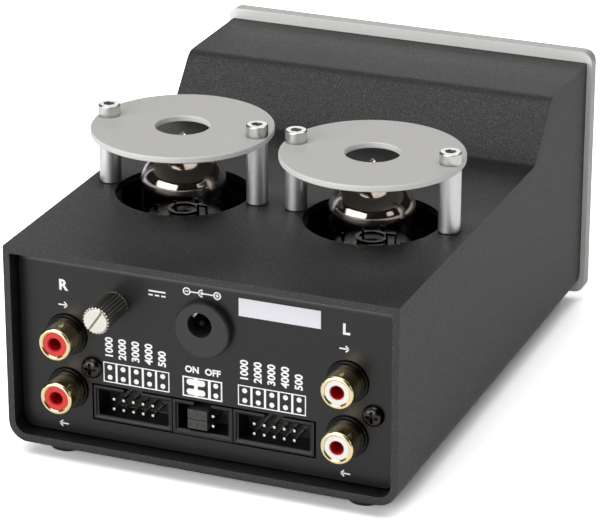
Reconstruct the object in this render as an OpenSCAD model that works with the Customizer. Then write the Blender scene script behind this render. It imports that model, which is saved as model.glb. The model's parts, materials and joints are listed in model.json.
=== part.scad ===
// Valve phono preamplifier in a small metal case: valves stand out of its low rear half under two
// guard discs, and the sockets, jumper headers, power inlet and earth screw are on its rear panel.
// Millimetres, +Z up, the front plate faces -Y. The origin is the bottom centre of the whole part.
// Inside in_case() the origin is the middle of the case's lower rear edge, and forwards is -Y.

/* [Case] */
// Width over the sides
case_w = 100; // [96:1:130]
// Depth from the rear rim to the back of the front plate
case_d = 138.9; // [132:1:180]
// Height of the low rear top
low_h = 50.4; // [49:0.5:58]
// Height of the raised front top
high_h = 64.2; // [62:0.5:80]
// Sheet of the tray's sides
side_t = 1.7; // [1:0.1:2.2]
// Sheet of the tray's floor
floor_t = 2; // [1.2:0.1:2.6]
// Sheet of the top cover
cover_t = 1.8; // [1:0.1:2.4]
// Outside radius of the tray's bottom corners
corner_r = 5; // [3:0.5:8]
// Distance from the rear rim to the bottom of the ramp
ramp_start = 97.2; // [94:1:102]
// Slope of the ramp in degrees
ramp_angle = 48.8; // [35:1:60]
// Outside radius of the bend at the bottom of the ramp
valley_r = 3; // [1:0.5:6]
// Outside radius of the bend at the top of the ramp
crest_r = 5; // [3:0.5:7]
// Gap round a sheet that stands inside the case
sheet_gap = 0.15; // [0.05:0.05:0.3]

/* [Rear panel] */
// Depth of the panel's face behind the rear rim
panel_recess = 4.4; // [2:0.2:6]
// Sheet of the rear panel
panel_t = 1.5; // [1:0.1:2]
// Length of the flange folded forward at the panel's top edge
panel_flange = 8; // [5:0.5:12]
// Outside radius of that fold
panel_bend_r = 3; // [1.6:0.1:4]
// Gap between the panel's lower edge and the floor
panel_foot_gap = 0.3; // [0.1:0.1:0.6]
// Radius of the panel's upper corners
panel_corner_r = 3; // [0.5:0.5:4]

/* [Front] */
// Thickness of the front plate
plate_t = 3.5; // [2.5:0.5:6]
// Reach of the plate past each side of the case
plate_side = 1.35; // [0.5:0.25:4]
// Reach of the plate above the raised top
plate_rise = 2.85; // [0.5:0.25:5]
// Reach of the plate below the case
plate_drop = 0.6; // [0:0.1:1.5]
// Radius of the plate's corners
plate_corner_r = 3; // [1:0.5:6]
// Sheet of the frame behind the plate
frame_t = 1.5; // [1:0.1:2]
// Depth of the frame's upper and lower flanges
frame_flange = 9; // [8.5:0.5:12]
// Depth of the threaded holes in the back of the plate
plate_hole_l = 2.4; // [1.5:0.1:2.4]

/* [Feet] */
// Diameter of a rubber foot
foot_d = 9; // [7:0.5:12]
// Height of a rubber foot
foot_h = 3.8; // [3:0.1:8]
// Distance of the feet's middles from the sides of the case
foot_side = 11.2; // [8:0.2:14]
// Distance of the feet's middles from the ends of the case
foot_end = 9.2; // [7:0.2:14]

/* [Valve guards] */
// Distance of the valves from the rear rim
valve_d = 48.5; // [46:0.5:52]
// Gap between the two guard discs
guard_gap = 4.6; // [4:0.2:8]
// Distance of the guard discs from the sides of the case
guard_side = 2.7; // [2:0.1:4]
// Thickness of a guard disc
guard_t = 1.6; // [1:0.1:3]
// Diameter of the hole in a guard disc
guard_hole_d = 13.4; // [8:0.2:20]
// Chamfer on the edges of a guard disc
guard_chamfer = 0.2; // [0.1:0.05:0.4]
// Diameter of a guard post
post_d = 5.4; // [5:0.1:6]
// Distance of a guard post from the edge of its disc
post_edge = 0.1; // [0:0.1:1]
// Distance of a guard post from the edge of the cover's hole
post_hole_edge = 0.2; // [0.1:0.1:2]
// Length of a guard post
post_h = 15.6; // [15:0.1:22]

/* [Valves] */
// Diameter of the glass
glass_d = 21.2; // [18:0.2:22]
// Height of the dome over the straight glass
dome_h = 7.6; // [6:0.1:10]
// Height of the valve over its socket, to the tip of the glass
valve_h = 49.5; // [46:0.1:49.8]
// Wall of the glass
glass_t = 0.8; // [0.6:0.1:1.2]
// Height of the pip that closes the glass
pip_h = 5; // [3:0.1:6]
// Radius of the pip at its root
pip_r = 1.6; // [1:0.1:2]
// Height of the socket over the board
socket_h = 9.2; // [7:0.1:9.2]
// Diameter of the socket
socket_d = 20; // [18:0.5:22]
// Diameter of the circle that the valve's pins stand on
pin_circle_d = 11.9; // [10:0.1:13]
// Diameter of a valve pin
valve_pin_d = 1; // [0.8:0.1:1.2]
// Length of a valve pin
valve_pin_l = 6.5; // [5:0.1:6.8]
// Thickness of the getter film inside the glass
getter_t = 0.2; // [0.1:0.05:0.4]
// Distance of the film's lower edge under the middle of the dome
getter_drop = 0.4; // [0:0.1:5]

/* [Phono sockets] */
// Distance of the sockets' mouldings from the headers
jack_gap = 1.5; // [0.2:0.1:2.5]
// Height of the lower sockets
jack_low_z = 14.1; // [13.4:0.1:14.4]
// Distance between the lower and the upper socket of a pair
jack_pitch = 14; // [13:0.5:15]
// Diameter of a socket's metal barrel
shell_d = 8.3; // [8:0.05:8.5]
// Reach of the barrel out of the panel
shell_reach = 7.2; // [6:0.1:9]
// Wall of the barrel
shell_wall = 1.1; // [0.8:0.1:1.2]
// Diameter of the collar round the barrel
collar_d = 10.3; // [9.8:0.1:10.6]
// Reach of the collar out of the panel
collar_reach = 0.7; // [0.3:0.1:1.5]
// Diameter of the ring on the collar, round the barrel
ring_d = 9.3; // [8.8:0.1:9.6]
// Thickness of that ring
ring_t = 0.6; // [0.3:0.1:1]
// Bore for the plug's middle pin
plug_bore_d = 3.2; // [3.2:0.1:3.6]
// Distance of the fixing screw beside each pair
jack_screw_x = 6.5; // [6.3:0.1:6.8]
// Height of the fixing screws
jack_screw_z = 20.6; // [20:0.1:22]

/* [Jumper headers] */
// Distance between neighbouring pins
pin_pitch = 2.54; // [2:0.01:2.54]
// Width of a square pin
pin_w = 0.64; // [0.5:0.01:0.7]
// Height of the middle of the headers
header_z = 11.65; // [11:0.05:12]
// Height of a header's box
header_h = 8.8; // [8.4:0.1:9]
// Length of a header's box beyond its row of pins
header_extra = 7.8; // [6.5:0.1:7.8]
// Wall of a header's box
header_wall = 1.2; // [0.8:0.1:1.4]
// Depth of a header's box over all
header_l = 9; // [8:0.1:9]
// Depth of the box in front of its floor
header_well = 6.5; // [6:0.1:6.8]
// Reach of the boxes out of the panel
header_reach = 0.2; // [0:0.1:1]
// Sideways place of the middle header
header_x = 0.8; // [0:0.1:1]
// Gap between the boxes
header_gap = 0.2; // [0.1:0.05:0.4]
// Width of the notch in a box's upper wall
notch_w = 4.5; // [3:0.1:4.5]
// Bevel on the inside edges of a box
header_bevel = 0.5; // [0.2:0.05:0.6]
// Width of a jumper cap
cap_w = 5; // [4.8:0.02:5.04]
// Height of a jumper cap
cap_h = 2.4; // [2.2:0.02:2.46]
// Depth of a jumper cap
cap_l = 6; // [5:0.1:6.2]
// Spring strip inside a cap
clip_t = 0.3; // [0.2:0.02:0.36]

/* [Power inlet] */
// Distance of the inlet's middle below the low top
inlet_drop = 14.8; // [14.4:0.1:16]
// Diameter of the round face
inlet_d = 14; // [13:0.2:15]
// Reach of the round face out of the panel
inlet_reach = 2.2; // [1:0.1:4]
// Diameter of the plug hole
inlet_bore_d = 6.2; // [5.6:0.1:6.6]
// Height of the plug hole over the middle of the face
inlet_bore_up = 1.45; // [0:0.05:2]
// Sideways place of the plug hole
inlet_bore_x = 0.4; // [0:0.05:1]
// Depth of the plug hole
inlet_bore_l = 10; // [8:0.5:13]
// Diameter of the inlet's middle pin
inlet_pin_d = 2; // [1.6:0.1:2.5]

/* [Earth screw] */
// Distance of the screw from the side of the case
earth_side = 27; // [26:0.2:28]
// Distance of the screw below the low top
earth_drop = 12.5; // [12:0.1:14.4]
// Diameter of the knurled head
knob_d = 6.9; // [6.4:0.1:8]
// Length of the knurled head
knob_l = 10.5; // [8:0.1:12]
// Number of ridges of the knurl
knob_teeth = 24; // [16:1:36]
// Depth of the knurl
knurl_depth = 0.45; // [0.2:0.05:0.5]
// Width of the slot in the head
slot_w = 0.5; // [0.4:0.05:0.8]
// Depth of the slot in the head
slot_depth = 0.5; // [0.4:0.1:1.2]
// Turn of the slot at rest, in degrees
slot_turn = 125; // [0:5:175]
// Diameter of the threaded shank
shank_d = 3.9; // [3:0.1:4]
// Length of the threaded shank
shank_l = 9; // [8:0.1:10]
// Thickness of the washer under the head
washer_t = 0.5; // [0.3:0.1:1]
// Diameter of the washer
washer_d = 6.6; // [6.4:0.1:6.8]
// Diameter of the threaded bush behind the panel
bush_d = 9; // [8:0.5:10]
// Length of the bush behind the panel
bush_l = 4; // [3:0.5:5]

/* [Sticker] */
// Length of the blank sticker
label_l = 20.5; // [12:0.5:24]
// Height of the blank sticker
label_h = 4.5; // [3:0.1:6]
// Thickness of the sticker
label_t = 0.12; // [0.05:0.01:0.2]
// Distance of the sticker's end from the middle of the case
label_x = 8.7; // [8:0.1:12]
// Distance of the sticker below the low top
label_drop = 5.7; // [5:0.1:8]

/* [Power button] */
// Distance of the button from the side of the case
button_side = 20; // [16:1:24]
// Height of the button and the lamp
button_z = 22; // [18:1:30]
// Diameter of the button
button_d = 9; // [7:0.2:10]
// Reach of the button out of the plate
button_reach = 2.2; // [2:0.1:4]
// Travel of the button
button_travel = 1.8; // [1:0.1:1.8]
// Gap round the button
button_gap = 0.25; // [0.15:0.05:0.4]
// Diameter of the button's stem
stem_d = 4; // [3:0.1:5]
// Distance of the lamp beside the button
led_x = 12; // [10:0.5:16]
// Diameter of the lamp
led_d = 3; // [2:0.1:3.4]

/* [Board parts] */
// Diameter of a filter capacitor
can_d = 16; // [10:0.5:18]
// Height of a filter capacitor
can_h = 30; // [20:1:36]
// Distance between neighbouring filter capacitors
can_pitch = 20; // [18.2:0.2:21]
// Distance of the filter capacitors in front of the valves
can_ahead = 35.5; // [32:0.5:37]
// Width of a film capacitor
film_w = 10; // [7:0.5:11]
// Thickness of a film capacitor
film_t = 5; // [3:0.5:6]
// Height of a film capacitor
film_h = 11; // [7:0.5:14]
// Distance between neighbouring film capacitors
film_pitch = 12; // [11.5:0.5:14]
// Distance of the film capacitors behind the valves
film_behind = 15; // [14:0.5:17]
// Length of a chip
chip_l = 9.5; // [9:0.1:10]
// Width of a chip
chip_w = 6.4; // [6:0.1:7]
// Height of a chip's moulding
chip_h = 3.4; // [3:0.1:4]
// Height of a chip over the board
chip_up = 0.6; // [0.4:0.1:1]
// Distance between neighbouring chips
chip_pitch = 18; // [12:0.5:24]
// Distance of the chips in front of the filter capacitors
chip_ahead = 20; // [14:0.5:22]
// Diameter of a resistor
resistor_d = 2.3; // [1.6:0.1:3]
// Length of a resistor
resistor_l = 6.4; // [4:0.1:7]
// Distance between neighbouring resistors
resistor_pitch = 8; // [4:0.5:9]
// Distance of the resistors in front of the chips
resistor_ahead = 14; // [10:0.5:15]
// Diameter of the parts' wires
wire_d = 0.6; // [0.4:0.05:0.8]

/* [Boards and screws] */
// Thickness of the circuit boards
board_t = 1.6; // [1:0.1:1.8]
// Gap between the main board and the sides of the case
board_gap = 2.3; // [1.5:0.1:3.5]
// Diameter of the machine screws' threads
thread_d = 2.9; // [2.4:0.1:3]
// Clearance round a screw in its thread
thread_gap = 0.05; // [0.02:0.01:0.1]
// Clearance round a screw in a plain hole
hole_gap = 0.15; // [0.1:0.05:0.2]
// Diameter of a small screw head
head_d = 5.4; // [5:0.1:5.6]
// Height of a small screw head
head_h = 1.9; // [1.4:0.1:2.2]
// Diameter of a socket cap screw's head
cap_head_d = 5.4; // [5:0.1:5.6]
// Height of a socket cap screw's head
cap_head_h = 3; // [2.4:0.1:3.4]
// Width across the flats of the nuts and spacers
hex_af = 5.5; // [5:0.1:5.6]

/* [Hidden] */

$fn = 48;
cut = 0.5;                     // how far a cutter runs past a face
fine_gap = 0.02;               // a piece pressed or moulded into another

ramp_end = ramp_start + (high_h - low_h) / tan(ramp_angle);
inner_w = case_w - 2 * side_t;
board_w = inner_w - 2 * board_gap;
inner_r = max(corner_r - side_t, 0.5);
low_ceiling = low_h - cover_t;
high_ceiling = high_h - cover_t;
panel_front = panel_recess;               // depth of the panel's outer face
panel_back = panel_recess + panel_t;      // and of its inner face
board_top = header_z - header_h / 2;
board_low = board_top - board_t;
frame_back = case_d - frame_t;

// Reach of the part in front of and behind the case's rear rim sets its middle
knob_reach = knob_l + washer_t;
front_reach = case_d + plate_t + button_reach;
rear_reach = max(knob_reach, shell_reach) - panel_recess;
rear_y = (front_reach - rear_reach) / 2;

// Valves
guard_d = (case_w - guard_gap) / 2 - guard_side;
valve_x = (guard_gap + guard_d) / 2;
post_x = guard_d / 2 - post_edge - post_d / 2;
valve_hole_d = 2 * (post_x - post_hole_edge) - post_d;
valve_seat = board_top + socket_h;
valve_top = valve_seat + valve_h;
dome_r = glass_d / 2;
dome_z = valve_top - pip_h - dome_h;      // top of the straight glass, foot of the dome
glass_foot_r = dome_r - 1.6;
glass_foot_h = 2.4;
dome_steps = 18;
dome_end = 80;                            // angle at which the dome's line ends beside the pip
post_places = [for (side = [1, -1], end = [1, -1]) [side * valve_x + end * post_x, -valve_d]];
outer_posts = [[valve_x + post_x, -valve_d], [-valve_x - post_x, -valve_d]];
inner_posts = [[valve_x - post_x, -valve_d], [-valve_x + post_x, -valve_d]];
screw_grip = 4.5;                         // a guard screw's length below the cover

// Circuit board and its fixings
spacer_h = board_low - floor_t;
board_rear = panel_back + 0.5;
board_front = case_d - 12.4;
spacer_x = board_w / 2 - 4;
spacer_d = [30, board_front - 8];
spacer_places = [for (x = [spacer_x, -spacer_x], d = spacer_d) [x, -d]];
frame_screw_places = [for (x = [case_w / 4, -case_w / 4]) [x, -(frame_back - 4.8)]];
base_screw_places = concat(spacer_places, outer_posts, frame_screw_places);
resistor_end = 4.5;                       // steps from the middle of the row to the last resistor
resistor_step = min(resistor_pitch, (spacer_x - 4 - resistor_d / 2) / resistor_end);
base_grip = min(1.4, spacer_h / 2 - 0.05);
plate_screw_places = [for (x = [inner_w / 2 - 7, 7 - inner_w / 2], z = [9, high_ceiling - 8]) [x, z]];
plate_head_h = 1.6;

// Headers
long_pins = 5;
short_pins = 3;
long_l = (long_pins - 1) * pin_pitch + header_extra + 2.54;
short_l = (short_pins - 1) * pin_pitch + header_extra + 2.54;
header_step = (long_l + short_l) / 2 + header_gap;
header_end = header_x + header_step + long_l / 2;
header_face = panel_front - header_reach;
header_back = header_face + header_l;
pin_tip = header_face + 0.4;
pin_gap = 0.03;
cap_face = header_face - 0.1;
cap_shift = pin_pitch / 2;                // the caps join the middle column and the one towards +X
cutout_gap = 0.4;
clip_gap = 0.04;
clip_h = pin_w + 2 * clip_gap + 2 * clip_t;
clip_w = pin_pitch + pin_w + 2 * clip_gap + 2 * clip_t;
cap_front_wall = 0.35;
dimple_x = 1.8;
dimple_d = 0.5;
dimple_depth = 0.15;

// Phono sockets
shell_r = shell_d / 2;
collar_r = collar_d / 2;
body_l = 12;                              // depth of a socket pair's moulding behind the panel
body_w = collar_d;
body_top = jack_low_z + jack_pitch + collar_r + 0.6;
shell_tail = 5;                           // length of the barrel behind the panel's face
root_d = shell_d - 1;                     // barrel's narrower root, held in the ring and the moulding
insulator_d = shell_d - 2 * shell_wall;
core_wall = 0.2;
core_d = plug_bore_d + 2 * core_wall;
boss_w = 4.6;
boss_reach = jack_screw_x + boss_w / 2;
side_gap = 0.1;                           // least gap between a moulding and the side of the case
jack_x = min(header_end + jack_gap + body_w / 2, inner_w / 2 - boss_reach - side_gap);

// Inlet
inlet_z = low_h - inlet_drop;
inlet_neck_d = inlet_d - 3;
inlet_box_l = 13;
inlet_box_w = inlet_d - 0.6;
inlet_board_d = panel_back + inlet_box_l;

// Earth screw and button
earth_x = case_w / 2 - earth_side;
earth_z = low_h - earth_drop;
button_x = case_w / 2 - button_side;

// Front board
switch_face = frame_back - 1;
switch_l = 8;
switch_w = 9;
front_board_d = switch_face - switch_l - board_t;
stem_l = 4.6;                             // length of the stem inside the switch

module in_case() { translate([0, rear_y, foot_h]) children(); }

// Extrudes a flat shape of (x, z) forwards from the rear rim
module along_y(length) { rotate([90, 0, 0]) linear_extrude(length) children(); }

// Extrudes a flat shape of (depth, z) across the case, middle on the case's middle
module across(width) { translate([width / 2, 0, 0]) rotate([90, 0, -90]) linear_extrude(width) children(); }

// A round bar that starts at the given depth and runs forwards
module rod(d, depth, length) { translate([0, -depth, 0]) rotate([90, 0, 0]) cylinder(d = d, h = length); }

// Turns a (radius, depth) outline round an axis that runs forwards
module turned() { rotate([90, 0, 0]) rotate_extrude() children(); }

function arc(c, r, from, to, steps = 8) =
    [for (i = [0:steps]) let (a = from + (to - from) * i / steps) [c[0] + r * cos(a), c[1] + r * sin(a)]];

// A quarter of an oval, short of its top, from a radius outwards to a height over the start
function dome_line(z, r, h) =
    [for (i = [0:dome_steps]) let (a = dome_end * i / dome_steps) [r * cos(a), z + h * sin(a)]];

function back_to_front(list) = [for (i = [len(list) - 1:-1:0]) list[i]];

// The cover's line at a depth under its outer face, from the rear rim to the front
function cover_line(under) =
    let (shift = under * tan(ramp_angle / 2),
         rv = valley_r + under, tv = rv * tan(ramp_angle / 2),
         rc = crest_r - under, tc = rc * tan(ramp_angle / 2))
    concat([[0, low_h - under]],
        arc([ramp_start + shift - tv, low_h - under + rv], rv, -90, -90 + ramp_angle),
        arc([ramp_end + shift + tc, high_h - under - rc], rc, 90 + ramp_angle, 90),
        [[case_d, high_h - under]]);

// A rectangle in x and z with its own radius at the bottom and at the top corners
function plate_outline(w, low, top, r_low, r_top) = concat(
    arc([w / 2 - r_low, low + r_low], r_low, -90, 0),
    arc([w / 2 - r_top, top - r_top], r_top, 0, 90),
    arc([r_top - w / 2, top - r_top], r_top, 90, 180),
    arc([r_low - w / 2, low + r_low], r_low, 180, 270));

module case_tray() color("#2c2c2d") in_case() {
    outer = concat([[-case_w / 2, high_h]], arc([corner_r - case_w / 2, corner_r], corner_r, 180, 270),
        arc([case_w / 2 - corner_r, corner_r], corner_r, 270, 360), [[case_w / 2, high_h]]);
    inner = concat([[-inner_w / 2, high_h]], arc([inner_r - inner_w / 2, floor_t + inner_r], inner_r, 180, 270),
        arc([inner_w / 2 - inner_r, floor_t + inner_r], inner_r, 270, 360), [[inner_w / 2, high_h]]);
    difference() {
        intersection() {
            along_y(case_d) polygon(concat(outer, back_to_front(inner)));
            across(case_w) polygon(concat(cover_line(cover_t), [[case_d, 0], [0, 0]]));
        }
        for (p = base_screw_places)
            translate([p[0], p[1], -cut]) cylinder(d = thread_d + 2 * hole_gap, h = floor_t + 2 * cut);
    }
}

module top_cover() color("#2c2c2d") in_case() difference() {
    across(case_w) polygon(concat(cover_line(0), back_to_front(cover_line(cover_t))));
    for (side = [1, -1]) translate([side * valve_x, -valve_d, low_ceiling - cut])
        cylinder(d = valve_hole_d, h = cover_t + 2 * cut, $fn = 96);
    for (p = post_places) translate([p[0], p[1], low_ceiling - cut])
        cylinder(d = thread_d + 2 * hole_gap, h = cover_t + 2 * cut);
}

// The sheet's section in (depth, z): upright, with a flange folded forward along its top
module panel_section(low, top) {
    r = panel_bend_r;
    polygon(concat([[panel_front, low]],
        arc([panel_front + r, top - r], r, 180, 90),
        [[panel_front + panel_flange, top], [panel_front + panel_flange, top - panel_t]],
        arc([panel_front + r, top - r], r - panel_t, 90, 180),
        [[panel_back, low]]));
}

module rear_panel() color("#333335") in_case() {
    low = floor_t + panel_foot_gap;
    top = low_ceiling - sheet_gap;
    header_span = 2 * header_step + long_l + 2 * cutout_gap;
    difference() {
        intersection() {
            across(inner_w) panel_section(low, top);
            along_y(panel_front + panel_flange + cut) polygon(plate_outline(inner_w - 2 * sheet_gap,
                low, top, inner_r, panel_corner_r));
        }
        for (side = [1, -1]) {
            for (z = [jack_low_z, jack_low_z + jack_pitch]) translate([side * jack_x, 0, z])
                rod(collar_d + 2 * hole_gap, panel_front - cut, panel_t + 2 * cut);
            translate([side * jack_x - jack_screw_x, 0, jack_screw_z])
                rod(thread_d + 2 * hole_gap, panel_front - cut, panel_t + 2 * cut);
        }
        translate([0, 0, inlet_z]) rod(inlet_neck_d + 2 * hole_gap, panel_front - cut, panel_t + 2 * cut);
        translate([earth_x, 0, earth_z]) rod(washer_d - 0.6, panel_front - cut, panel_t + 2 * cut);
        translate([header_x - header_span / 2, -panel_back - cut, board_top - cutout_gap])
            cube([header_span, panel_t + 2 * cut, header_h + 2 * cutout_gap]);
    }
}

module front_plate() color("#c3c4c5") in_case() difference() {
    translate([0, -case_d, 0]) along_y(plate_t) polygon(plate_outline(case_w + 2 * plate_side,
        -plate_drop, high_h + plate_rise, plate_corner_r, plate_corner_r));
    for (p = plate_screw_places) translate([p[0], 0, p[1]])
        rod(thread_d + 2 * thread_gap, case_d - cut, plate_hole_l + cut);
    translate([button_x, 0, button_z]) rod(button_d + 2 * button_gap, case_d - cut, plate_t + 2 * cut);
    translate([button_x - led_x, 0, button_z]) rod(led_d + 2 * hole_gap, case_d - cut, plate_t + 2 * cut);
}

module front_frame() color("#9a9c9e") in_case() {
    low = floor_t;
    top = high_ceiling - sheet_gap;
    difference() {
        intersection() {
            across(inner_w) polygon([[case_d, low], [case_d, top], [case_d - frame_flange, top],
                [case_d - frame_flange, top - frame_t], [frame_back, top - frame_t], [frame_back, low + frame_t],
                [case_d - frame_flange, low + frame_t], [case_d - frame_flange, low]]);
            along_y(case_d + cut) polygon(plate_outline(inner_w - 2 * sheet_gap, low, top, inner_r, 0.5));
        }
        for (p = plate_screw_places) translate([p[0], 0, p[1]])
            rod(thread_d + 2 * hole_gap, frame_back - cut, frame_t + 2 * cut);
        for (p = frame_screw_places) translate([p[0], p[1], low - cut])
            cylinder(d = thread_d + 2 * thread_gap, h = frame_t + 2 * cut);
        translate([button_x, 0, button_z]) rod(button_d + 2 * button_gap, frame_back - cut, frame_t + 2 * cut);
        translate([button_x - led_x, 0, button_z]) rod(led_d + 1, frame_back - cut, frame_t + 2 * cut);
    }
}

// A small domed screw head with a cross recess, its seat at 0 and its shank towards +Z
module pan_screw(grip, height = head_h) {
    edge = 0.4;
    recess_w = 0.8;
    recess_l = head_d * 0.56;
    difference() {
        union() {
            rotate_extrude() polygon(concat([[0, 0]],
                [for (a = [90:-10:0]) [head_d / 2 * cos(a), -edge - (height - edge) * sin(a)]], [[head_d / 2, 0]]));
            translate([0, 0, -fine_gap]) cylinder(d = thread_d, h = grip + fine_gap);
        }
        for (turn = [0, 90]) rotate([0, 0, turn])
            translate([-recess_l / 2, -recess_w / 2, -height - cut]) cube([recess_l, recess_w, height * 0.6 + cut]);
    }
}

module plate_screws() color("#3a3a3c") in_case() for (p = plate_screw_places)
    translate([p[0], -frame_back, p[1]]) rotate([90, 0, 0])
        pan_screw(frame_t + plate_hole_l - 0.2, plate_head_h);

module feet() color("#161617") in_case()
    for (x = [case_w / 2 - foot_side, foot_side - case_w / 2], d = [foot_end, case_d - foot_end])
        translate([x, -d, -foot_h]) rotate_extrude() polygon(concat([[0, 0]],
            arc([foot_d / 2 - 1, 1], 1, 270, 360, 5), [[foot_d / 2, foot_h], [0, foot_h]]));

// Two pillars between the floor and the cover, their feet cut to the tray's rounded corners
module cover_pillars() color("#b9bbbd") in_case() for (p = outer_posts) difference() {
    intersection() {
        translate([p[0], p[1], floor_t]) cylinder(d = post_d, h = low_ceiling - floor_t);
        along_y(2 * valve_d) polygon(plate_outline(inner_w - 2 * sheet_gap, floor_t, high_h, inner_r, inner_r));
    }
    translate([p[0], p[1], floor_t - cut]) cylinder(d = thread_d + 2 * thread_gap, h = 5 + cut);
    translate([p[0], p[1], low_ceiling - screw_grip - 1])
        cylinder(d = thread_d + 2 * thread_gap, h = screw_grip + 1 + cut);
}

module base_screws() color("#3a3a3c") in_case() for (p = base_screw_places)
    translate([p[0], p[1], 0]) pan_screw(floor_t + base_grip);

module guard(side) color("#b4b5b3") in_case()
    translate([side * valve_x, -valve_d, low_h + post_h]) difference() {
        c = guard_chamfer;
        rotate_extrude($fn = 120) polygon([[guard_hole_d / 2, c], [guard_hole_d / 2 + c, 0],
            [guard_d / 2 - c, 0], [guard_d / 2, c], [guard_d / 2, guard_t - c], [guard_d / 2 - c, guard_t],
            [guard_hole_d / 2 + c, guard_t], [guard_hole_d / 2, guard_t - c]]);
        for (x = [post_x, -post_x]) translate([x, 0, -cut])
            cylinder(d = thread_d + 2 * hole_gap, h = guard_t + 2 * cut);
    }

module right_guard() guard(1);
module left_guard() guard(-1);

module guard_posts() color("#c2c3c4") in_case() for (p = post_places) translate([p[0], p[1], low_h])
    rotate_extrude() polygon([[thread_d / 2 + hole_gap, 0], [post_d / 2 - 0.2, 0], [post_d / 2, 0.2],
        [post_d / 2, post_h], [thread_d / 2 + hole_gap, post_h]]);

module guard_screws() color("#c9cccd") in_case()
    for (p = post_places) translate([p[0], p[1], low_h + post_h + guard_t]) difference() {
        edge = 0.3;
        grip = guard_t + post_h + cover_t + screw_grip;
        union() {
            rotate_extrude() polygon([[0, 0], [cap_head_d / 2, 0], [cap_head_d / 2, cap_head_h - edge],
                [cap_head_d / 2 - edge, cap_head_h], [0, cap_head_h]]);
            translate([0, 0, -grip]) cylinder(d = thread_d, h = grip + fine_gap);
        }
        translate([0, 0, cap_head_h / 2]) cylinder(d = 2.5 / cos(30), h = cap_head_h, $fn = 6);
    }

module hex_tube(height, bore) difference() {
    cylinder(d = hex_af / cos(30), h = height, $fn = 6);
    translate([0, 0, -cut]) cylinder(d = bore, h = height + 2 * cut);
}

module guard_nuts() color("#b9bbbd") in_case() for (p = inner_posts)
    translate([p[0], p[1], low_ceiling - 2.4]) hex_tube(2.4, thread_d + 2 * thread_gap);

// The outline of the glass in (radius, z), smaller by a wall all round
function glass_line(wall) =
    let (r = dome_r - wall, foot = glass_foot_r - wall)
    concat([[0, valve_seat + wall], [foot, valve_seat + wall]],
        arc([foot, valve_seat + glass_foot_h + wall], 1.6, -70, 0, 4),
        [[r, valve_seat + glass_foot_h + wall + 1]], dome_line(dome_z, r, dome_h - wall));

module valve_glass(side) color("#9fa7a8", 0.35) in_case() translate([side * valve_x, -valve_d, 0]) {
    tip = pip_r * 0.45;
    difference() {
        rotate_extrude($fn = 72) polygon(concat(glass_line(0),
            [[pip_r, dome_z + dome_h * sqrt(1 - pow(pip_r / dome_r, 2))], [tip * 1.2, valve_top - tip * 0.8]],
            arc([0, valve_top - tip], tip, 20, 90, 4)));
        rotate_extrude($fn = 72) polygon(concat(glass_line(glass_t), [[0, dome_z + dome_h - glass_t]]));
    }
}

module right_valve_glass() valve_glass(1);
module left_valve_glass() valve_glass(-1);

module valve_getter(side) color("#6b5a4c") in_case() translate([side * valve_x, -valve_d, 0]) {
    under = glass_t + 3 * fine_gap;
    r = dome_r - under;
    h = dome_h - under;
    rotate_extrude($fn = 72) polygon(concat([[r - getter_t, dome_z - getter_drop], [r, dome_z - getter_drop]],
        dome_line(dome_z, r, h), [[0, dome_z + h], [0, dome_z + h - getter_t]],
        back_to_front(dome_line(dome_z, r - getter_t, h - getter_t))));
}

module right_valve_getter() valve_getter(1);
module left_valve_getter() valve_getter(-1);

// Two anodes between mica discs, on supports that stand on the glass foot, with the getter ring and its wires on top
module valve_electrodes(side) color("#77787a") in_case() translate([side * valve_x, -valve_d, 0]) {
    mica_r = dome_r - glass_t - 0.25;
    mica_t = 0.4;
    low_mica = valve_seat + 6.5;
    high_mica = dome_z - 9.2;
    ring_r = 3.1;
    wire_d = 0.6;
    wire_h = 3.4;
    anode_w = 6.4;
    anode_l = 10;
    for (z = [low_mica, high_mica]) translate([0, 0, z]) cylinder(r = mica_r, h = mica_t);
    for (x = [-1, 1]) translate([x * 4.2 - anode_w / 2, -anode_l / 2, low_mica + mica_t])
        cube([anode_w, anode_l, high_mica - low_mica - mica_t]);
    for (turn = [0:90:270]) rotate([0, 0, turn + 45]) translate([5.6, 0, valve_seat + glass_t])
        cylinder(d = 0.9, h = low_mica - valve_seat - glass_t + 0.1);
    for (turn = [0:90:270]) rotate([0, 0, turn]) translate([7.6, 0, low_mica]) cylinder(d = 0.9, h = high_mica - low_mica + 1.6);
    translate([0, ring_r + 0.4, high_mica]) cylinder(d = wire_d, h = 1.6);
    translate([0, 0, high_mica + 1.2]) rotate_extrude() translate([ring_r, 0]) square([0.8, 0.7]);
    for (x = [2.3, -3.8, -6]) translate([x, 0, high_mica]) cylinder(d = wire_d, h = wire_h);
    translate([-6, -wire_d / 2, high_mica + wire_h - wire_d]) cube([2.2, wire_d, wire_d]);
}

module right_valve_electrodes() valve_electrodes(1);
module left_valve_electrodes() valve_electrodes(-1);

// Nine of the ten places of a circle, the gap towards the rear
module nine_round(d) for (i = [1:9]) rotate([0, 0, 90 + 36 * i]) translate([d / 2, 0, 0]) children();

module valve_socket(side) color("#2a211c") in_case() translate([side * valve_x, -valve_d, board_top])
    difference() {
        union() {
            cylinder(d = socket_d, h = socket_h - 2);
            cylinder(d = socket_d - 3, h = socket_h);
        }
        nine_round(pin_circle_d) translate([0, 0, socket_h - valve_pin_l - 0.5])
            cylinder(d = valve_pin_d + 0.1, h = valve_pin_l + 0.5 + cut);
        translate([0, 0, -cut]) cylinder(d = 4, h = socket_h + 2 * cut);
    }

module right_valve_socket() valve_socket(1);
module left_valve_socket() valve_socket(-1);

module valve_pins() color("#a8a9aa") in_case() for (side = [1, -1])
    translate([side * valve_x, -valve_d, valve_seat - valve_pin_l])
        nine_round(pin_circle_d) cylinder(d = valve_pin_d, h = valve_pin_l);

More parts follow.
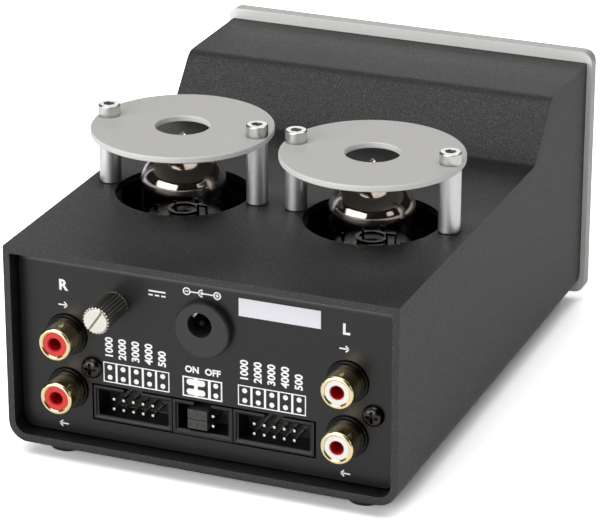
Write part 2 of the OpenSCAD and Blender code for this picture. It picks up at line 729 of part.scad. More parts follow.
// A pair of phono sockets: (0, 0, 0) of each child is the barrel's axis on the panel's face
module each_jack(side) for (z = [jack_low_z, jack_low_z + jack_pitch])
    translate([side * jack_x, -panel_front, z]) children();

module jack_body(side) color("#1d1d1e") in_case() difference() {
    union() {
        translate([side * jack_x - body_w / 2, -panel_back - body_l, board_top])
            cube([body_w, body_l, body_top - board_top]);
        translate([side * jack_x - boss_reach, -panel_back - body_l, jack_screw_z - boss_w / 2])
            cube([boss_reach, body_l, boss_w]);
        each_jack(side) translate([0, collar_reach, 0]) rod(collar_d, 0, collar_reach + panel_t + 1);
        each_jack(side) translate([0, collar_reach + ring_t, 0]) rod(ring_d, 0, ring_t + 1);
    }
    each_jack(side) {
        translate([0, collar_reach + ring_t + cut, 0])
            rod(root_d + 2 * fine_gap, 0, collar_reach + ring_t + cut + shell_tail);
        rod(plug_bore_d + 2 * fine_gap, 0, 9);
    }
    translate([side * jack_x - jack_screw_x, 0, jack_screw_z])
        rod(thread_d + 2 * thread_gap, panel_back - cut, 9 + cut);
}

module right_jack_body() jack_body(1);
module left_jack_body() jack_body(-1);

// Barrel with a rounded lip at its mouth and a narrower root, in (radius, depth)
module jack_shell() turned() {
    lip = 0.7;
    bore = shell_r - shell_wall;
    polygon(concat([[bore, shell_tail], [bore, -shell_reach + 0.3], [bore + 0.3, -shell_reach]],
        arc([shell_r - lip, lip - shell_reach], lip, 270, 360, 6),
        [[shell_r, -collar_reach - ring_t], [root_d / 2, -collar_reach - ring_t], [root_d / 2, shell_tail]]));
}

module right_jack_shells() color("#d9b45e") in_case() each_jack(1) jack_shell();
module left_jack_shells() color("#d9b45e") in_case() each_jack(-1) jack_shell();

// A round tube along the barrel's axis, from a reach out of the panel to a depth behind its face
module jack_tube(outer_d, bore, reach, tail) turned()
    polygon([[bore / 2, -reach], [outer_d / 2, -reach], [outer_d / 2, tail], [bore / 2, tail]]);

module right_jack_insulators() color("#e2403c") in_case() each_jack(1)
    jack_tube(insulator_d - 2 * fine_gap, core_d + 2 * fine_gap, shell_reach - 0.3, shell_tail);
module left_jack_insulators() color("#eeeeea") in_case() each_jack(-1)
    jack_tube(insulator_d - 2 * fine_gap, core_d + 2 * fine_gap, shell_reach - 0.3, shell_tail);

module jack_cores() color("#a3121c") in_case() for (side = [1, -1]) each_jack(side)
    jack_tube(core_d, plug_bore_d, shell_reach - 0.5, shell_tail);

module jack_contacts() color("#c8a24c") in_case() for (side = [1, -1]) each_jack(side)
    jack_tube(plug_bore_d - 2 * fine_gap, plug_bore_d - 0.5, 1.5, 8.5);

module jack_screws() color("#2a2a2b") in_case() for (side = [1, -1])
    translate([side * jack_x - jack_screw_x, -panel_front, jack_screw_z]) rotate([90, 0, 0]) pan_screw(panel_t + 8);

// A header's box: middle of its face at the origin, open towards the rear
module header_box(length) {
    well_w = length - 2 * header_wall;
    well_h = header_h - 2 * header_wall;
    b = header_bevel;
    difference() {
        translate([-length / 2, -header_l, -header_h / 2]) cube([length, header_l, header_h]);
        translate([-well_w / 2, -header_well, -well_h / 2]) cube([well_w, header_well + cut, well_h]);
        translate([-notch_w / 2, -header_well, 0]) cube([notch_w, header_well + cut, header_h]);
        across(well_w + 2 * b) polygon([[-cut, -well_h / 2 - b - cut], [-cut, well_h / 2 + b + cut],
            [b, well_h / 2], [b, -well_h / 2]]);
        for (side = [1, -1]) translate([0, 0, -well_h / 2]) linear_extrude(well_h)
            polygon([[0, cut], [side * (well_w / 2 + b + cut), cut], [side * well_w / 2, -b], [0, -b]]);
        children();
    }
}

module header_holes(count) for (i = [0:count - 1], row = [-0.5, 0.5])
    translate([(i - (count - 1) / 2) * pin_pitch, -header_well - (header_l - header_well) / 2, row * pin_pitch])
        cube([pin_w + 2 * pin_gap, header_l, pin_w + 2 * pin_gap], center = true);

module at_header(step) translate([header_x + step * header_step, -header_face, header_z]) children();

module right_header() color("#1c1c1d") in_case() at_header(1) header_box(long_l) header_holes(long_pins);
module middle_header() color("#1c1c1d") in_case() at_header(0) header_box(short_l) header_holes(short_pins);
module left_header() color("#1c1c1d") in_case() at_header(-1) header_box(long_l) header_holes(long_pins);

// Right-angled pins: out of the box's floor behind, down to the board
module pin_set(count) for (i = [0:count - 1], row = [0, 1]) {
    z = (row - 0.5) * pin_pitch;
    tail = header_l + 0.8 + row * 1.4;
    translate([(i - (count - 1) / 2) * pin_pitch - pin_w / 2, 0, 0]) {
        translate([0, -tail - pin_w, z - pin_w / 2]) cube([pin_w, tail + pin_w - (pin_tip - header_face), pin_w]);
        translate([0, -tail - pin_w, -header_h / 2]) cube([pin_w, pin_w, z + header_h / 2]);
    }
}

module header_pins() color("#c9c4b4") in_case() {
    at_header(1) pin_set(long_pins);
    at_header(0) pin_set(short_pins);
    at_header(-1) pin_set(long_pins);
}

module at_cap(row) translate([header_x + cap_shift, -cap_face, header_z + row * pin_pitch]) children();

module jumper(row) color("#1a1a1b") in_case() at_cap(row) difference() {
    translate([-cap_w / 2, -cap_l, -cap_h / 2]) cube([cap_w, cap_l, cap_h]);
    translate([-clip_w / 2 - fine_gap, -cap_l - cut, -clip_h / 2 - fine_gap])
        cube([clip_w + 2 * fine_gap, cap_l + cut - cap_front_wall, clip_h + 2 * fine_gap]);
    for (x = [-dimple_x, 0, dimple_x]) translate([x, cut, 0]) rod(dimple_d, 0, cut + dimple_depth);
}

module upper_jumper() jumper(0.5);
module lower_jumper() jumper(-0.5);

// The spring strip folded round both pins, open towards the board
module jumper_clip(row) color("#c9b68a") in_case() at_cap(row) difference() {
    gap_h = clip_h - 2 * clip_t;
    gap_w = clip_w - 2 * clip_t;
    translate([-clip_w / 2, -cap_l + 0.2, -clip_h / 2]) cube([clip_w, cap_l - 0.2 - cap_front_wall, clip_h]);
    translate([-gap_w / 2, -cap_l - cut, -gap_h / 2]) cube([gap_w, cap_l + 2 * cut, gap_h]);
}

module upper_jumper_clip() jumper_clip(0.5);
module lower_jumper_clip() jumper_clip(-0.5);

module at_inlet_bore() translate([inlet_bore_x, -panel_front + inlet_reach, inlet_z + inlet_bore_up]) children();

module inlet_body() color("#3b3b3c") in_case() difference() {
    union() {
        translate([0, -panel_front, inlet_z]) turned() polygon([[0, -inlet_reach], [inlet_d / 2 - 0.4, -inlet_reach],
            [inlet_d / 2, 0.4 - inlet_reach], [inlet_d / 2, 0], [inlet_neck_d / 2, 0], [inlet_neck_d / 2, panel_t + 1],
            [0, panel_t + 1]]);
        translate([-inlet_box_w / 2, -inlet_board_d, inlet_z - inlet_neck_d / 2])
            cube([inlet_box_w, inlet_box_l, inlet_neck_d]);
    }
    at_inlet_bore() {
        translate([0, cut, 0]) rod(inlet_bore_d, 0, inlet_bore_l + cut);
        rod(inlet_pin_d + 2 * fine_gap, inlet_bore_l - cut, 2 + cut);
    }
}

module inlet_pin() color("#c9cccd") in_case() at_inlet_bore() {
    translate([0, -1.4, 0]) turned() polygon([[0, 0], [inlet_pin_d / 2 - 0.4, 0], [inlet_pin_d / 2, 0.4],
        [inlet_pin_d / 2, inlet_bore_l + 0.5], [0, inlet_bore_l + 0.5]]);
}

// A sprung tongue along the wall of the plug hole
module inlet_contact() color("#d5d2c8") in_case() at_inlet_bore() intersection() {
    rod(inlet_bore_d - 2 * fine_gap, 2.2, inlet_bore_l - 2.2);
    rotate([0, -40, 0]) translate([inlet_bore_d / 2 - 0.75, -inlet_bore_l, -0.9])
        cube([0.6, inlet_bore_l - 2.2, 1.8]);
}

module at_earth() translate([earth_x, -panel_front, earth_z]) children();

module ground_screw() color("#d5d6d3") in_case() at_earth() translate([0, washer_t, 0]) difference() {
    union() {
        root = knob_d / 2 - knurl_depth;
        translate([0, knob_l - 0.4, 0]) along_y(knob_l - 0.4) polygon([for (i = [0:2 * knob_teeth - 1])
            let (a = 180 * i / knob_teeth, r = i % 2 == 0 ? knob_d / 2 : root) [r * cos(a), r * sin(a)]]);
        translate([0, knob_l, 0]) turned() polygon([[0, 0], [root - 0.1, 0], [root, 0.15], [root, 0.6], [0, 0.6]]);
        translate([0, fine_gap, 0]) rod(shank_d, 0, washer_t + shank_l);
    }
    translate([0, knob_l, 0]) rotate([0, -slot_turn, 0])
        translate([-knob_d, -slot_depth, -slot_w / 2]) cube([2 * knob_d, slot_depth + cut, slot_w]);
}

module ground_washer() color("#b5b6b4") in_case() at_earth() turned()
    polygon([[shank_d / 2 + 0.1, -washer_t], [washer_d / 2, -washer_t], [washer_d / 2, 0], [shank_d / 2 + 0.1, 0]]);

module ground_bush() color("#b08c50") in_case() at_earth() turned()
    polygon([[shank_d / 2 + thread_gap, 0.1], [washer_d / 2 - 0.3 - fine_gap, 0.1], [washer_d / 2 - 0.3 - fine_gap, panel_t],
        [bush_d / 2, panel_t], [bush_d / 2, panel_t + bush_l], [shank_d / 2 + thread_gap, panel_t + bush_l]]);

module panel_label() color("#e6e6e2") in_case()
    translate([-label_x - label_l, -panel_front, low_h - label_drop - label_h]) cube([label_l, label_t, label_h]);

module main_board() color("#20452f") in_case() difference() {
    translate([-board_w / 2, -board_front, board_low]) cube([board_w, board_front - board_rear, board_t]);
    for (p = spacer_places) translate([p[0], p[1], board_low - cut])
        cylinder(d = thread_d + 2 * hole_gap, h = board_t + 2 * cut);
    for (p = outer_posts) translate([p[0], p[1], board_low - cut]) cylinder(d = post_d + 1, h = board_t + 2 * cut);
}

module board_spacers() color("#c2a25c") in_case() for (p = spacer_places)
    translate([p[0], p[1], floor_t]) hex_tube(spacer_h, thread_d + 2 * thread_gap);

module board_screws() color("#b9bbbd") in_case() for (p = spacer_places)
    translate([p[0], p[1], board_top]) mirror([0, 0, 1]) pan_screw(board_t + base_grip);

module inlet_board() color("#20452f") in_case()
    translate([-inlet_box_w / 2 - 1, -inlet_board_d - board_t, board_top])
        cube([inlet_box_w + 2, board_t, inlet_z + inlet_neck_d / 2 + 1.5 - board_top]);

module front_board() color("#20452f") in_case()
    translate([button_x - led_x - 5, -front_board_d - board_t, board_top])
        cube([led_x + switch_w / 2 + 7, board_t, button_z + switch_w / 2 + 3 - board_top]);

// Right-angled pins that join the standing boards to the main board
module riser_row(x, depth, count) for (i = [0:count - 1])
    translate([x + (i - (count - 1) / 2) * pin_pitch - pin_w / 2, -depth, board_top]) {
        cube([pin_w, 3, pin_w]);
        cube([pin_w, pin_w, 3.2]);
    }

module riser_pins() color("#c9c4b4") in_case() {
    mirror([0, 1, 0]) riser_row(0, -inlet_board_d - board_t, 4);
    riser_row(button_x - led_x / 2, front_board_d, 5);
}

module filter_capacitors() color("#26324a") in_case() for (i = [-1.5:1.5])
    translate([i * can_pitch, -valve_d - can_ahead, board_top]) rotate_extrude() {
        r = can_d / 2;
        rim = 0.8;
        groove = 0.5;
        polygon([[0, 0], [r - rim, 0], [r, rim], [r, 4 * groove], [r - groove, 5 * groove], [r, 6 * groove],
            [r, can_h - rim], [r - rim, can_h], [r - 2 * rim, can_h - rim / 2], [0, can_h - rim / 2]]);
    }

module film_capacitors() color("#a5342c") in_case() for (side = [1, -1], i = [0, 1])
    translate([side * (inlet_box_w / 2 + film_w / 2 + 1 + i * film_pitch) - film_w / 2, -valve_d + film_behind, board_top])
        cube([film_w, film_t, film_h]);

module op_amps() color("#1b1b1c") in_case() for (x = [-chip_pitch, 0, chip_pitch])
    translate([x, -valve_d - can_ahead - chip_ahead, board_top]) {
        leg = wire_d / 2;
        translate([-chip_l / 2, -chip_w / 2, chip_up]) cube([chip_l, chip_w, chip_h]);
        for (i = [-1.5:1.5], side = [1, -1]) translate([i * pin_pitch - leg, side * (chip_w + leg) / 2 - leg / 2, 0])
            cube([wire_d, leg, chip_up + chip_h / 2]);
    }

module resistors() color("#c9b48a") in_case() for (i = [-resistor_end:resistor_end]) {
    reach = resistor_l / 2 + 1.6;
    lift = resistor_d / 2 + wire_d;
    translate([i * resistor_step, -valve_d - can_ahead - chip_ahead - resistor_ahead, board_top + lift]) {
        rod(resistor_d, -resistor_l / 2, resistor_l);
        rod(wire_d, -reach, 2 * reach);
        for (end = [1, -1]) translate([0, end * (reach - wire_d / 2), -lift]) cylinder(d = wire_d, h = lift);
    }
}

module power_switch() color("#2b2b2c") in_case() translate([button_x, 0, button_z]) difference() {
    translate([-switch_w / 2, -switch_face, -switch_w / 2]) cube([switch_w, switch_l, switch_w]);
    rod(stem_d + 2 * button_gap, switch_face - stem_l - button_travel - 0.4, stem_l + button_travel + 0.4 + cut);
}

module power_button() color("#c6c7c8") in_case() translate([button_x, 0, button_z]) turned() {
    front = case_d + plate_t + button_reach;
    cap_back = case_d - 0.6;
    polygon([[0, switch_face - stem_l], [stem_d / 2, switch_face - stem_l], [stem_d / 2, cap_back],
        [button_d / 2, cap_back], [button_d / 2, front - 0.5], [button_d / 2 - 0.5, front], [0, front]]);
}

module power_led() color("#5f8fd0") in_case() translate([button_x - led_x, 0, button_z]) {
    front = case_d + plate_t;
    turned() polygon(concat([[0, front_board_d + 5], [led_d / 2 + 0.4, front_board_d + 5],
        [led_d / 2 + 0.4, front_board_d + 6], [led_d / 2, front_board_d + 6]],
        arc([0, front - led_d / 2], led_d / 2, 0, 90, 6)));
    for (x = [-1.27, 1.27]) translate([x, 0, 0]) rod(0.5, front_board_d + board_t, 5 - board_t + 0.2);
}

case_tray();
top_cover();
rear_panel();
front_plate();
front_frame();
plate_screws();
feet();
cover_pillars();
base_screws();
right_guard();
left_guard();
guard_posts();
guard_screws();
guard_nuts();
right_valve_glass();
left_valve_glass();
right_valve_getter();
left_valve_getter();
right_valve_electrodes();
left_valve_electrodes();
right_valve_socket();
left_valve_socket();
valve_pins();
right_jack_body();
left_jack_body();
right_jack_shells();
left_jack_shells();
right_jack_insulators();
left_jack_insulators();
jack_cores();
jack_contacts();
jack_screws();
right_header();
middle_header();
left_header();
header_pins();
upper_jumper();
lower_jumper();
upper_jumper_clip();
lower_jumper_clip();
inlet_body();
inlet_pin();
inlet_contact();
ground_screw();
ground_washer();
ground_bush();
panel_label();
main_board();
board_spacers();
board_screws();
inlet_board();
front_board();
riser_pins();
filter_capacitors();
film_capacitors();
op_amps();
resistors();
power_switch();
power_button();
power_led();
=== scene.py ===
import json
import math
import bpy
from mathutils import Matrix, Vector


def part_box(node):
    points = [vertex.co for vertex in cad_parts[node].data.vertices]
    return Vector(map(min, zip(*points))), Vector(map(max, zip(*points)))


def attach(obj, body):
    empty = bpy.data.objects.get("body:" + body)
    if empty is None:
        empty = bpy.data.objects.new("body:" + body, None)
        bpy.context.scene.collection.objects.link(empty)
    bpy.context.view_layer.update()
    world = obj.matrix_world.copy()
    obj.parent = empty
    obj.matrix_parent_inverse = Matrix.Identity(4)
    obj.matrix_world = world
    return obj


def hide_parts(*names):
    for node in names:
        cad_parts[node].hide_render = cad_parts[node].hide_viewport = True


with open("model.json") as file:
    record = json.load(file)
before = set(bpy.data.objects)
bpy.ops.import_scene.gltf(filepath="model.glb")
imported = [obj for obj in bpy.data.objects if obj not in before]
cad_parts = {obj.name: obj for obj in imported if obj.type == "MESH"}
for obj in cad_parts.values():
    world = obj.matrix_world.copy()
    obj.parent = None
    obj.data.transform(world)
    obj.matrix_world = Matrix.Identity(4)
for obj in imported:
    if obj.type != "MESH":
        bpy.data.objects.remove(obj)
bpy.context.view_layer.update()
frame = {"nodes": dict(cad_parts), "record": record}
nodes = frame["nodes"]
print("stage: frame loaded with", len(nodes), "nodes")

mm = 0.001
scene = bpy.context.scene
caseBody = "preamp_case"
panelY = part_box("panel_label")[0].y      # outer face of the rear panel
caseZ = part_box("feet")[1].z              # underside of the case, on top of its feet
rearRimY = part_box("case_tray")[1].y      # outer edge of the rim round the panel


def linearColour(hexText):
    channels = [int(hexText[i:i + 2], 16) / 255 for i in (1, 3, 5)]
    return [c / 12.92 if c <= 0.04045 else ((c + 0.055) / 1.055) ** 2.4 for c in channels] + [1.0]


def newMaterial(name, colour, metallic=0.0, roughness=0.5, more=None):
    material = bpy.data.materials.new(name)
    material.use_nodes = True
    shader = material.node_tree.nodes["Principled BSDF"]
    shader.inputs["Base Color"].default_value = linearColour(colour)
    shader.inputs["Metallic"].default_value = metallic
    shader.inputs["Roughness"].default_value = roughness
    for socket, value in (more or {}).items():
        shader.inputs[socket].default_value = value
    return material


def addNode(material, kind, links=None, values=None, **settings):
    node = material.node_tree.nodes.new(kind)
    for key, value in settings.items():
        setattr(node, key, value)
    for socket, value in (values or {}).items():
        node.inputs[socket].default_value = value
    for socket, source in (links or {}).items():
        material.node_tree.links.new(source, node.inputs[socket])
    return node


def linkTo(material, socket, source):
    shader = material.node_tree.nodes["Principled BSDF"]
    material.node_tree.links.new(source, shader.inputs[socket])


def deselectAll():
    if bpy.context.object and bpy.context.object.mode != "OBJECT":
        bpy.ops.object.mode_set(mode="OBJECT")
    bpy.ops.object.select_all(action="DESELECT")


def pick(piece):
    deselectAll()
    piece.select_set(True)
    bpy.context.view_layer.objects.active = piece


def applyPlace(piece):
    pick(piece)
    bpy.ops.object.transform_apply(location=True, rotation=True, scale=True)


def finishPiece(piece, material, body=caseBody, replaced=()):
    piece.data.materials.clear()
    piece.data.materials.append(material)
    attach(piece, body)
    if replaced:
        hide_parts(*replaced)


# Black polyester powder coat, baked over bent steel: a dull dark grain with a few light specks,
# with painted shade that darkens it and takes its shine away where it is shut in
coatPattern = {"grainMm": 0.3, "grainLevel": 0.6, "dentMm": 0.08, "dentStrength": 0.9,
               "speckMm": 0.9, "speckSize": 0.13, "paintedShadeMm": 6, "paintedShadeSteepness": 2.5,
               "grainRange": (0.35, 0.65), "sheen": (0.45, 0.85),
               "stops": ((0.22, "#030303"), (0.42, "#272728"), (1.0, "#58585a"))}
powderCoat = newMaterial("powderCoat", "#171717", roughness=0.52, more={"Specular IOR Level": 0.6})
place = addNode(powderCoat, "ShaderNodeTexCoord")
grain = addNode(powderCoat, "ShaderNodeTexNoise", {"Vector": place.outputs["Object"]},
                {"Scale": 1 / (coatPattern["grainMm"] * mm), "Detail": 2.0, "Roughness": 0.6})
cells = addNode(powderCoat, "ShaderNodeTexVoronoi", {"Vector": place.outputs["Object"]},
                {"Scale": 1 / (coatPattern["speckMm"] * mm)})
speck = addNode(powderCoat, "ShaderNodeMath", {0: cells.outputs["Distance"]},
                {1: coatPattern["speckSize"]}, operation="LESS_THAN")
between = addNode(powderCoat, "ShaderNodeMath", {0: grain.outputs["Fac"]},
                  {1: coatPattern["grainLevel"]}, operation="MULTIPLY")
mixed = addNode(powderCoat, "ShaderNodeMath", {0: between.outputs[0], 1: speck.outputs[0]},
                operation="MAXIMUM")
coatColour = addNode(powderCoat, "ShaderNodeValToRGB", {"Fac": mixed.outputs[0]})
dents = addNode(powderCoat, "ShaderNodeBump", {"Height": grain.outputs["Fac"]},
                {"Strength": coatPattern["dentStrength"], "Distance": coatPattern["dentMm"] * mm})
# Painted shade: ambient occlusion darkens the coat's colour in shut-in places
paintedShade = addNode(powderCoat, "ShaderNodeAmbientOcclusion", {"Color": coatColour.outputs["Color"]},
               {"Distance": coatPattern["paintedShadeMm"] * mm}, samples=8)
paintedShadeOnSheen = addNode(powderCoat, "ShaderNodeMath", {0: paintedShade.outputs["AO"]},
                   {1: coatPattern["paintedShadeSteepness"]}, operation="POWER")
glints = addNode(powderCoat, "ShaderNodeMapRange", {"Value": grain.outputs["Fac"]},
                 {"From Min": coatPattern["grainRange"][0], "From Max": coatPattern["grainRange"][1],
                  "To Min": coatPattern["sheen"][0], "To Max": coatPattern["sheen"][1]})
# The sheen is dimmed there too by the same painted shade
sheen = addNode(powderCoat, "ShaderNodeMath", {0: glints.outputs["Result"], 1: paintedShadeOnSheen.outputs[0]},
                operation="MULTIPLY")
linkTo(powderCoat, "Base Color", paintedShade.outputs["Color"])
linkTo(powderCoat, "Specular IOR Level", sheen.outputs[0])
linkTo(powderCoat, "Normal", dents.outputs["Normal"])

# Satin paint, sprayed on the flat rear panel: smoother and blacker than the case
paintPattern = {"rippleMm": 0.6, "dentMm": 0.03, "dentStrength": 0.12}
satinPaint = newMaterial("satinPaint", "#101010", roughness=0.34, more={"Specular IOR Level": 0.5})
place = addNode(satinPaint, "ShaderNodeTexCoord")
ripple = addNode(satinPaint, "ShaderNodeTexNoise", {"Vector": place.outputs["Object"]},
                 {"Scale": 1 / (paintPattern["rippleMm"] * mm), "Detail": 2.0})
dents = addNode(satinPaint, "ShaderNodeBump", {"Height": ripple.outputs["Fac"]},
                {"Strength": paintPattern["dentStrength"], "Distance": paintPattern["dentMm"] * mm})
linkTo(satinPaint, "Normal", dents.outputs["Normal"])

# Silver anodised aluminium plate, brushed from side to side, and paler on the faces that turn to the rear.
# The strokes are drawn coarser than real ones, so that they show
platePattern = {"strokeMm": 0.25, "drawOut": (0.02, 1, 1), "dentMm": 0.03, "dentStrength": 0.25,
                "stops": ((0.8, "#bcbdb9"), (0.95, "#f2f3ef"))}      # by how far a face turns to the rear
brushedPlate = newMaterial("brushedPlate", "#c0c1bd", metallic=0.35, roughness=0.45)
place = addNode(brushedPlate, "ShaderNodeTexCoord")
alongX = addNode(brushedPlate, "ShaderNodeMapping", {"Vector": place.outputs["Object"]},
                 {"Scale": platePattern["drawOut"]})
strokes = addNode(brushedPlate, "ShaderNodeTexNoise", {"Vector": alongX.outputs["Vector"]},
                  {"Scale": 1 / (platePattern["strokeMm"] * mm), "Detail": 3.0})
dents = addNode(brushedPlate, "ShaderNodeBump", {"Height": strokes.outputs["Fac"]},
                {"Strength": platePattern["dentStrength"], "Distance": platePattern["dentMm"] * mm})
surface = addNode(brushedPlate, "ShaderNodeNewGeometry")
axes = addNode(brushedPlate, "ShaderNodeSeparateXYZ", {"Vector": surface.outputs["Normal"]})
backOrFace = addNode(brushedPlate, "ShaderNodeValToRGB", {"Fac": axes.outputs["Y"]})
linkTo(brushedPlate, "Base Color", backOrFace.outputs["Color"])
linkTo(brushedPlate, "Normal", dents.outputs["Normal"])

# Bead-blasted, clear anodised aluminium: almost matt and warm grey, lighter on its upright faces than on its
# flat ones
blastPattern = {"beadMm": 0.3, "dentMm": 0.02, "dentStrength": 0.15,
                "stops": ((0.6, "#dfdedb"), (0.9, "#c3c2be"))}       # from upright cuts to flat faces
blastedAluminium = newMaterial("blastedAluminium", "#c3c2be", metallic=0.1, roughness=0.6)
place = addNode(blastedAluminium, "ShaderNodeTexCoord")
beads = addNode(blastedAluminium, "ShaderNodeTexNoise", {"Vector": place.outputs["Object"]},
                {"Scale": 1 / (blastPattern["beadMm"] * mm), "Detail": 2.0})
dents = addNode(blastedAluminium, "ShaderNodeBump", {"Height": beads.outputs["Fac"]},
                {"Strength": blastPattern["dentStrength"], "Distance": blastPattern["dentMm"] * mm})
surface = addNode(blastedAluminium, "ShaderNodeNewGeometry")
axes = addNode(blastedAluminium, "ShaderNodeSeparateXYZ", {"Vector": surface.outputs["Normal"]})
flat = addNode(blastedAluminium, "ShaderNodeMath", {0: axes.outputs["Z"]}, operation="ABSOLUTE")
cutOrFlat = addNode(blastedAluminium, "ShaderNodeValToRGB", {"Fac": flat.outputs[0]})
linkTo(blastedAluminium, "Base Color", cutOrFlat.outputs["Color"])
linkTo(blastedAluminium, "Normal", dents.outputs["Normal"])

# A new ramp has two stops, and further ones are added
for ramp, stops in ((coatColour, coatPattern["stops"]), (backOrFace, platePattern["stops"]),
                    (cutOrFlat, blastPattern["stops"])):
    elements = ramp.color_ramp.elements
    for index, (position, colour) in enumerate(stops):
        stop = elements[index] if index < 2 else elements.new(position)
        stop.position = position
        stop.color = linearColour(colour)

# Lathe-turned aluminium: satin, with long soft highlights
turnedAluminium = newMaterial("turnedAluminium", "#e6e7e9", metallic=1.0, roughness=0.42)
# Bent steel sheet under zinc: dull grey
zincSheet = newMaterial("zincSheet", "#9b9d9f", metallic=1.0, roughness=0.5)
# Clear zinc on screws and nuts: bright, and shiny on its edges
brightZinc = newMaterial("brightZinc", "#d9dcd8", metallic=1.0, roughness=0.3)
# Nickel on knurled brass: a warm white shine
nickelPlate = newMaterial("nickelPlate", "#f0ede6", metallic=1.0, roughness=0.32)
# Thin gold on brass: pale, with sharp highlights
goldPlate = newMaterial("goldPlate", "#f6e4b4", metallic=1.0, roughness=0.21)
# Tin on drawn pins and contacts: a bright silver
tinPlate = newMaterial("tinPlate", "#e2dfd6", metallic=1.0, roughness=0.25)
# Tin of the pin deep in the inlet, painted nearly black as painted shade
paintedShadeTin = newMaterial("paintedShadeTin", "#201e1b", metallic=1.0, roughness=0.35)
# Turned brass of the bush and spacers: yellow, with a soft shine
rawBrass = newMaterial("rawBrass", "#b6935a", metallic=1.0, roughness=0.35)
# Pressed nickel of the electrodes: dark and brownish behind the glass
dullNickel = newMaterial("dullNickel", "#4a3f3a", metallic=1.0, roughness=0.3)
# Black plating on steel screws: dark and glossy
blackenedSteel = newMaterial("blackenedSteel", "#5a5755", metallic=1.0, roughness=0.2)
# Moulded rubber: dull black
footRubber = newMaterial("footRubber", "#1b1b1c", roughness=0.8)
# Moulded nylon of headers and blocks: black, with a soft shine
blackNylon = newMaterial("blackNylon", "#0f0f10", roughness=0.36)
# Moulded nylon of the jumper caps: greyer and flatter
capNylon = newMaterial("capNylon", "#3b3b38", roughness=0.5)
# Moulded plastic of the inlet: dark grey, half matt
satinPlastic = newMaterial("satinPlastic", "#282829", roughness=0.5)
# Plastic from a polished mould, round the sockets: black and glossy
polishedMoulding = newMaterial("polishedMoulding", "#0a0807", roughness=0.16,
                               more={"Specular IOR Level": 0.25})
# Pressed bakelite of the valve sockets: dark brown
bakelite = newMaterial("bakelite", "#231b17", roughness=0.4)
# Moulded insulators and cores of the sockets: plain strong colours, a little shiny
redPlastic = newMaterial("redPlastic", "#d9342f", roughness=0.35)
whitePlastic = newMaterial("whitePlastic", "#eeeeec", roughness=0.35)
deepRedPlastic = newMaterial("deepRedPlastic", "#c2121f", roughness=0.3)
# Coated paper of the sticker: matt, a cool white
stickerPaper = newMaterial("stickerPaper", "#e9eaf0", roughness=0.7)
# Solder mask on the boards: green lacquer
boardLacquer = newMaterial("boardLacquer", "#1f4731", roughness=0.35)
# Shrunk plastic sleeve of the cans: dark blue
canSleeve = newMaterial("canSleeve", "#26344c", roughness=0.3)
# Moulded box of the film capacitors: brick red
filmBox = newMaterial("filmBox", "#a4332a", roughness=0.4)
# Dipped lacquer of the resistors: sand colour
resistorPaint = newMaterial("resistorPaint", "#c6b189", roughness=0.4)
# Screen-printed ink: flat white
legendInk = newMaterial("legendInk", "#fafaf8", roughness=0.6)
# Soft glass of a valve: clear, a little grey
valveGlass = newMaterial("valveGlass", "#f3f5f5", roughness=0.0,
                         more={"Transmission Weight": 1.0, "IOR": 1.5})
# Getter, a metal vapour on the inside of the glass: a brown mirror
getterMirror = newMaterial("getterMirror", "#a39284", metallic=1.0, roughness=0.1,
                           more={"Coat Weight": 1.0})
# Moulded acrylic of the front lamp: a tinted lens
lampLens = newMaterial("lampLens", "#8fb4e6", roughness=0.15,
                       more={"Transmission Weight": 0.6, "IOR": 1.49})

# Painted shade: sockets of screws and grooves of the knurl are darkened in their colour, by how far they are
# shut in
for metal, reachMm, depth in ((brightZinc, 1.0, 1.0), (nickelPlate, 0.6, 1.6), (blackenedSteel, 0.7, 1.3)):
    plating = metal.node_tree.nodes["Principled BSDF"].inputs["Base Color"].default_value
    paintedShade = addNode(metal, "ShaderNodeAmbientOcclusion",
                   values={"Distance": reachMm * mm, "Color": tuple(plating)}, samples=8)
    deepenedPaintedShade = addNode(metal, "ShaderNodeGamma", {"Color": paintedShade.outputs["Color"]}, {"Gamma": depth})
    linkTo(metal, "Base Color", deepenedPaintedShade.outputs["Color"])
print("stage: materials made")

